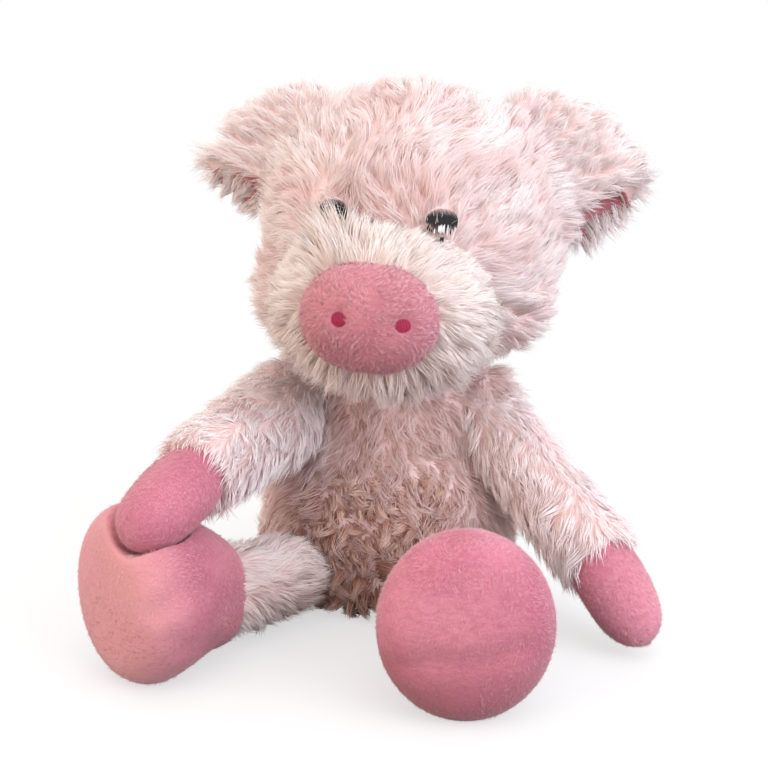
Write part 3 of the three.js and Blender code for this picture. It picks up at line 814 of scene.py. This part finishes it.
# Ears. Each is a flap of fur fabric outside and short pink plush inside, folded over forwards and sewn along
# the side of the head. The left one is held up, and the right one sags, with a tuft at its end.
ear_lean = 31  # degrees that the seam leans outwards, going down
lining_plush = plush_finish("ear lining plush", (208, 134, 142), (182, 106, 116), (224, 160, 166))
lining_nap = fur_finish("ear lining nap", (178, 102, 112), (208, 138, 146), (232, 174, 180), (164, 92, 100))
ear_fur = fur_finish("ear fur", (252, 235, 233), (254, 244, 243), (255, 250, 250), (247, 218, 216))


def hung(piece, place, rise, fuller, drawn_in=0.0, tucked=0.0):
    """An ear's outer end raised, its upper part made fuller, its lower part drawn in and its top tucked."""
    for v in piece.data.vertices:
        at = place.inverted() @ v.co
        outer = float(ramp(6 * mm, 34 * mm, at.x))
        low, high = hump((at.y / mm + 15) / 8), hump((at.y / mm - 11) / 10)
        at.x += (high * fuller - low * drawn_in) * mm * outer
        at.y += rise * mm * outer - tucked * mm * float(ramp(16 * mm, 34 * mm, at.y))
        v.co = place @ at


def ear(side, way, **shape):
    """One ear's lining and flap, with their pile. Its frame has x outwards and y up its seam."""
    body = f"ear_{side}"
    place = (
        head_place
        @ Matrix.Diagonal((way, 1, 1, 1))
        @ Matrix.Translation([length * mm for length in ear_base])
        @ rotated(-ear_lean, "Y")
        @ rotated(90, "X")
    )
    lining = stuffed(f"{body}_lining_plush", [copied(f"{body}_lining")], fineness=1.3, ease=3)
    hung(lining, place, **shape)
    dressed(lining, body, lining_plush, "rose_plush", f"{body}_lining", fill=0.2)
    inwards = Matrix.Translation(place.to_3x3() @ Vector((-4.5, 0, 0)) * mm)
    forms = [copied(f"{body}_outer"), moved(copied(f"{body}_outer"), inwards)]
    if side == "left":
        upwards = Matrix.Translation(place.to_3x3() @ Vector((0, 2.5, 0)) * mm)
        forms.append(moved(copied(f"{body}_outer"), upwards))
    flap = stuffed(f"{body}_fur_backing", forms, fineness=1.6, ease=5, taken_in=1.6)
    hung(flap, place, **shape)
    dressed(flap, body, pink_backing, "pink_fur", f"{body}_outer", fill=0.3)
    bm = bmesh.new()
    bm.from_mesh(lining.data)
    inside = BVHTree.FromBMesh(bm)
    bm.free()

    def outside_of_the_fold(at, facing):
        lined = np.array([inside.find_nearest(Vector(spot * mm))[3] or 1.0 for spot in at])
        return lined >= 1.7 * mm

    def to_the_edge(at):
        return out_of(place, ways(1.0, seen_in(place, at)[:, 1] * 0.019 + 0.1, 0.0))

    def standing_at_the_seam(at):
        return ramp(6, -4, seen_in(place, at)[:, 0])

    def longer_at_the_edge(at):
        x, y, _ = seen_in(place, at).T
        return 0.9 + 0.45 * ramp(-4, -26, y) * ramp(0, 20, x)

    def low_on_the_lining(at, facing):
        return (seen_in(place, at)[:, 1] < -26) & (out_of(place.inverted(), facing)[:, 2] > 0.3)

    pile(f"{body}_fur", body, flap, ear_fur, "pink_fur", to_the_edge, per_mm2=1.2, length=11, width=0.38,
         swirl=20, whorl=16, curl=30, lift=36, tip_lift=8, droop=0.12, lock=3.8, keep=outside_of_the_fold,
         tone=0.12, reach=longer_at_the_edge, stand=standing_at_the_seam, seed=51 + way)
    down = out_of(place, np.array((0.25, -1.0, 0.0)))
    pile(f"{body}_fringe", body, lining, ear_fur, "pink_fur", down, per_mm2=1.3, length=10, width=0.46,
         swirl=15, whorl=12, droop=0.3, lock=3.4, gather=0.8, keep=low_on_the_lining, tone=0.3,
         seed=58 + way)
    pile(f"{body}_nap", body, lining, lining_nap, "rose_plush", to_the_edge, per_mm2=1.5, length=2.6,
         width=0.42, swirl=40, whorl=10, lock=1.8, gather=0.4, segments=1, seed=55 + way)


ear("left", 1, rise=3.0, fuller=2.5)
ear("right", -1, rise=-3.0, fuller=-1.0, drawn_in=9.0, tucked=4.0)


# Arms. Each is a stuffed sleeve of fur fabric that ends in a plump mitt of short pink plush without fingers.
# The right mitt rests on the right foot, and the left hangs beside the left leg.
def limb_frame(pivot, heading, rise):
    """A limb's own frame: z runs along it from its pivot, and y is its upper side."""
    return Matrix.Translation(Vector(pivot) * mm) @ rotated(heading, "Z") @ rotated(90 - rise, "X")


def along_limb(place, droop, towards=1):
    """The way of pile that lies along a limb, towards its end or its root, and hangs a little."""
    return out_of(place, np.array((0, 0, towards))) + (0, 0, -droop)


def between(place, low, high):
    """Tells that pile grows only between these distances along a limb."""

    def shown(at, facing):
        along = seen_in(place, at)[:, 2]
        return (along >= low) & (along <= high)

    return shown


arm_places = {
    "left": limb_frame((52, -17, 85), 41, -36),
    "right": limb_frame((-43, -14.5, 94.5), -28.5, -10.5),
}
mitt_start = Matrix.Translation((0, 0, 76 * mm))
mitt_bend = rotated(12, "X")
mitt_places = {side: place @ mitt_start @ mitt_bend for side, place in arm_places.items()}
mitt_flatness = 0.88  # its thickness as a share of its width
rose_plush = plush_finish("rose plush", (216, 134, 152), (184, 96, 120), (230, 158, 170), 24, 0.4)
rose_nap = fur_finish("rose nap", (204, 124, 141), (233, 163, 176), (249, 200, 206), (166, 72, 94))
arm_fur = fur_finish("arm fur", (251, 235, 234), (254, 244, 244), (255, 250, 250), (244, 212, 209))


def arm(side, fuller, end):
    """A sleeve of this length, fuller than the other towards its shoulder, and its mitt."""
    body, place, mitt_place = f"arm_{side}", arm_places[side], mitt_places[side]
    form = turned([(0, -20 - fuller), (15 + fuller, -16), (21 + fuller, -4), (22 + fuller, 18),
                   (21.5 + fuller / 2, 45), (22, end - 12), (17.5, end - 4), (0, end)])
    sleeve = stuffed(f"{body}_fur_backing", [moved(form, place)], ease=4, taken_in=pile_depth)
    dressed(sleeve, body, pink_backing, "pink_fur", f"{body}_sleeve", f"{body}_stuffing", fill=0.6)
    form = turned([(0, -10), (13.5, -7), (17.5, 4), (18.3, 18), (16.2, 33), (10, 43), (0, 47.5)])
    form = moved(moved(form, Matrix.Diagonal((1, mitt_flatness, 1, 1))), mitt_place)
    mitt = stuffed(f"mitt_{side}_plush", [form], fineness=1.6, ease=3, taken_in=1.8)
    dressed(mitt, body, rose_plush, "rose_plush", f"mitt_{side}", fill=0.6)
    pile(f"{body}_fur", body, sleeve, arm_fur, "pink_fur", along_limb(place, 0.7), per_mm2=0.9, length=12.5,
         width=0.43, swirl=26, whorl=18, curl=30, lift=38, tip_lift=10, droop=0.15, gather=0.58,
         keep=between(place, -14, end - 5), tone=0.18, seed=61)
    pile(f"mitt_{side}_nap", body, mitt, rose_nap, "rose_plush", along_limb(place, 0.2), per_mm2=3.0,
         length=3.0, width=0.27, swirl=45, whorl=16, lift=32, tip_lift=18, lock=1.3, gather=0.7,
         keep=between(mitt_place, 2, 50), patch=20, blotch=0.24, mottle=1.2, tone=0.14, segments=1, seed=65)


arm("left", 0.3, 88)
arm("right", 4, 83)


# Legs. Each is a short stuffed sleeve of fur fabric that opens into a round bulging foot of short pink
# plush, gently domed under the sole. The right mitt presses a dent in the right foot, whose sole is paler,
# and the left foot has soft folds across its sole.
leg_places = {"left": limb_frame((31, -51, 26), 0, 3), "right": limb_frame((-42, -45, 26), -47, 3)}
up = (0, 0, 1)
out_of_right_sole = (-0.731, -0.682, 0.05)
leg_fur = fur_finish("leg fur", (250, 230, 226), (254, 242, 239), (255, 250, 249), (236, 196, 184))
# Painted shade darkens each foot towards the floor; the right foot's sole also has a paler, peachier tint.
foot_tints_and_shade = {
    "left": [(up, 0.048, 0.006, (160, 84, 98))],
    "right": [(up, 0.03, 0.0, (184, 104, 120)), (out_of_right_sole, 0.136, 0.157, (217, 149, 153))],
}
foot_creases = {
    "left": [((-27, -6, 91), (-14, -2, 95), (4, -3, 96), (20, 3, 95)),
             ((-7, 41, 87), (-16, 33, 91), (-21, 26, 92), (-25, 15, 93))],
    "right": [((30, 10, 89), (33, 14, 84), (33, 16, 80), (30, 13, 66)),
              ((33, -3, 82), (31, -8, 78), (25, -10, 62))],
}
foot_width = 67 / 74  # as a share of its height
foot_slope = 0.11  # how far the foot rises for each millimetre of its length


def press_in(foot, mitt_place):
    """The resting mitt presses a trough in the foot, which fades out beyond its tip."""
    places, radii = (0, 20, 34, 43, 47, 51), (16.5, 17.5, 15.5, 10, 6, 2)  # along the mitt
    lowest = 25  # the height that the trough stays above
    round_share = 0.85  # how much of its radius is round, before its sides run straight
    steepness = 2.0  # of those sides
    bm = bmesh.new()
    bm.from_mesh(foot.data)
    back = mitt_place.inverted()
    touched = []
    for v in bm.verts:
        at = back @ v.co / mm
        if not 0 < at.z < places[-1] or v.co.z < lowest * mm:
            continue
        radius = np.interp(at.z, places, radii)
        across = min(abs(at.x), radius * round_share)
        bottom = -mitt_flatness * math.sqrt(radius**2 - across**2) + (abs(at.x) - across) * steepness
        if at.y > bottom:
            at.y = bottom
            v.co = mitt_place @ (at * mm)
            touched.append(v)
    near = set(touched)
    for _ in range(3):
        near |= {e.other_vert(v) for v in near for e in v.link_edges}
    for _ in range(4):
        smoothed(bm, list(near))
    bm.to_mesh(foot.data)
    bm.free()


def creased(piece, place, lines, depth, width):
    """Soft creases along lines in the limb's frame, with the stuffing pushed up beside them."""
    mesh = piece.data
    flat, facing = np.empty((2, len(mesh.vertices) * 3), np.float32)
    mesh.vertices.foreach_get("co", flat)
    mesh.vertices.foreach_get("normal", facing)
    at = flat.reshape(-1, 3).astype(float)
    own = seen_in(place, at / mm)
    for line in lines:
        away = np.full(len(own), 1e9)
        for start, end in zip(np.array(line[:-1], float), np.array(line[1:], float)):
            along = np.clip((own - start) @ (end - start) / ((end - start) ** 2).sum(), 0, 1)
            away = np.minimum(away, np.linalg.norm(own - start - along[:, None] * (end - start), axis=1))
        push = 0.35 * np.exp(-(((away - 2 * width) / width) ** 2)) - np.exp(-((away / width) ** 2))
        at = at + facing.reshape(-1, 3) * (push * depth * mm)[:, None]
    mesh.vertices.foreach_set("co", at.astype(np.float32).ravel())
    mesh.update()


def leg(side):
    """A sleeve and its foot."""
    body, place = f"leg_{side}", leg_places[side]
    form = turned([(0, -20), (14, -14), (20, 0), (21.5, 22), (21, 42), (14, 54), (0, 58)])
    sat_down = place @ Matrix.Translation((0, -3 * mm, 0))
    sleeve = stuffed(f"{body}_fur_backing", [moved(form, sat_down)], ease=4, taken_in=pile_depth)
    on_floor(sleeve, 0.4)
    dressed(sleeve, body, pink_backing, "pink_fur", f"{body}_sleeve", f"{body}_stuffing", fill=0.6)
    form = turned([(0, 32), (14, 34.5), (22.5, 43.5), (31, 59.5), (37.2, 75.5), (36, 86), (26, 94), (0, 96)])
    shaped = Matrix(((foot_width, 0, 0, 0), (0, 1, foot_slope, -3 * mm), (0, 0, 1, 0), (0, 0, 0, 1)))
    heels = [ball((23, 18, 18), (0, -7, 51)), ball((27, 23, 18), (0, -2, 61))]
    forms = [moved(form, place @ shaped), *(moved(heel, place) for heel in heels)]
    foot = stuffed(f"foot_{side}_plush", forms, taken_in=-0.2)
    if side == "right":
        press_in(foot, mitt_places["right"])
    creased(foot, place, foot_creases[side], depth=0.8, width=4.0)
    on_floor(foot, 0.4)
    plush = plush_finish(f"foot {side} plush", (214, 130, 148), (180, 92, 116), (228, 154, 167), 24, 0.3,
                         foot_tints_and_shade[side])
    dressed(foot, body, plush, "rose_plush", f"foot_{side}_cover", f"foot_{side}_sole", fill=0.75)

    def shown_of_foot(at, facing):
        return (seen_in(place, at)[:, 2] >= 42) & (at[:, 2] >= 0.6)

    def foot_tone_and_shade(at):
        """Paler on the sole, with painted light on the upper side and painted shade towards the floor and
        the ankle.
        """
        sole, low = (0.1, 0.5) if side == "left" else (0.32, 0.36)
        upper = low * ramp(16, 65, at[:, 2]) + 0.2 * ramp(55, 80, at[:, 2])
        return upper + sole * ramp(74, 92, seen_in(place, at)[:, 2]) - low

    pile(f"{body}_fur", body, sleeve, leg_fur, "pink_fur", along_limb(place, 0.4, -1), per_mm2=1.0,
         length=12, width=0.4, swirl=24, whorl=16, curl=30, lift=36, tip_lift=10, droop=0.15,
         keep=between(place, -12, 46), tone=0.08, seed=71)
    pile(f"foot_{side}_nap", body, foot, rose_nap, "rose_plush", along_limb(place, 0.6, -1), per_mm2=1.75,
         length=3.2, width=0.31, swirl=70, whorl=18, lift=28, tip_lift=14, lock=1.3, gather=0.7,
         keep=shown_of_foot, tone=foot_tone_and_shade, patch=24, blotch=0.28, mottle=2.4, segments=1, seed=75)


leg("left")
leg("right")


# Tail. A short curled tube of pink plush, sewn in at the back of the seat. The photo doesn't show it, so it
# is made as such toys have it.
tail = stuffed("tail_plush", [copied("tail")], fineness=1.0, ease=4, taken_in=0.8)
dressed(tail, "torso", rose_plush, "rose_plush", "tail", fill=0.5)
pile("tail_nap", "torso", tail, rose_nap, "rose_plush", (0.0, 1.0, 0.1), per_mm2=3, length=2.4, width=0.32,
     swirl=30, whorl=8, lift=36, lock=1.8, gather=0.35, segments=1, seed=81)


# Floor, lamps and camera. A plain white floor and backdrop under soft, even light, a little warmer from the
# left and cooler from the right.
ground = Finish("white floor")
seen_directly = ground.node("LightPath")
dull = ground.node("BsdfDiffuse", {"Color": (0.34, 0.32, 0.31, 1)})
lit = ground.node("BsdfDiffuse", {"Color": (0.9, 0.9, 0.9, 1)})
bright = ground.node("Emission", {"Color": (1, 1, 1, 1), "Strength": 1.0})
place = ground.node("TexCoord", out=3)
distance = ground.node("VectorMath", {0: place}, 1, operation="LENGTH")
fading = {0: distance, 1: 0.15, 2: 0.42, 3: 0.6, 4: 1.0}
far_off = ground.node("MapRange", fading, interpolation_type="SMOOTHSTEP")
shown_floor = ground.node("MixShader", {0: far_off, 1: lit, 2: bright})
whole_floor = ground.node("MixShader", {0: seen_directly, 1: dull, 2: shown_floor})
ground.node("OutputMaterial", {"Surface": whole_floor})
bm = bmesh.new()
bmesh.ops.create_grid(bm, x_segments=2, y_segments=2, size=6)
floor = added("floor", as_mesh("floor", bm))
floor.data.materials.append(ground.holder)

room = Finish("white room", bpy.data.worlds)
backdrop = room.node("LightPath")
strength = room.node("MapRange", {0: backdrop, 3: 0.85, 4: 1.0})
glow = room.node("Background", {"Color": (1, 1, 1, 1), "Strength": strength})
room.node("OutputWorld", {"Surface": glow})
bpy.context.scene.world = room.holder


toy_middle = Vector((0, -0.03, 0.1))


def lamp(name, at, size, watts, colour=(1, 1, 1)):
    """A soft square lamp that shines on the middle of the toy."""
    light = bpy.data.lights.new(name, "AREA")
    light.size = size
    light.energy = watts
    light.color = colour
    made = added(name, light)
    made.location = at
    made.rotation_euler = (toy_middle - Vector(at)).to_track_quat("-Z", "Y").to_euler()


lamp("soft ceiling", (0.2, -0.45, 1.15), 1.1, 3.8)
lamp("warm wall", (-0.9, -0.6, 0.35), 0.8, 4.5, (1, 0.74, 0.54))
lamp("cool window", (0.8, -0.7, 0.5), 0.7, 7.5, (0.82, 0.88, 1))
lamp("soft wall behind", (0.1, 1.0, 0.55), 0.9, 2.5)

picture_width = 768  # pixels
focal_length = 1050  # pixels, at which the toy's perspective is the photo's
camera_tilt = 12  # degrees down from level
lens = bpy.data.cameras.new("camera")
lens.sensor_width = 36
lens.lens = focal_length / picture_width * lens.sensor_width
camera = added("camera", lens)
camera.location = (0, -0.5, 0.208)
camera.rotation_euler = (math.radians(90 - camera_tilt), 0, 0)
bpy.context.scene.camera = camera
bpy.context.scene.view_settings.view_transform = "Standard"
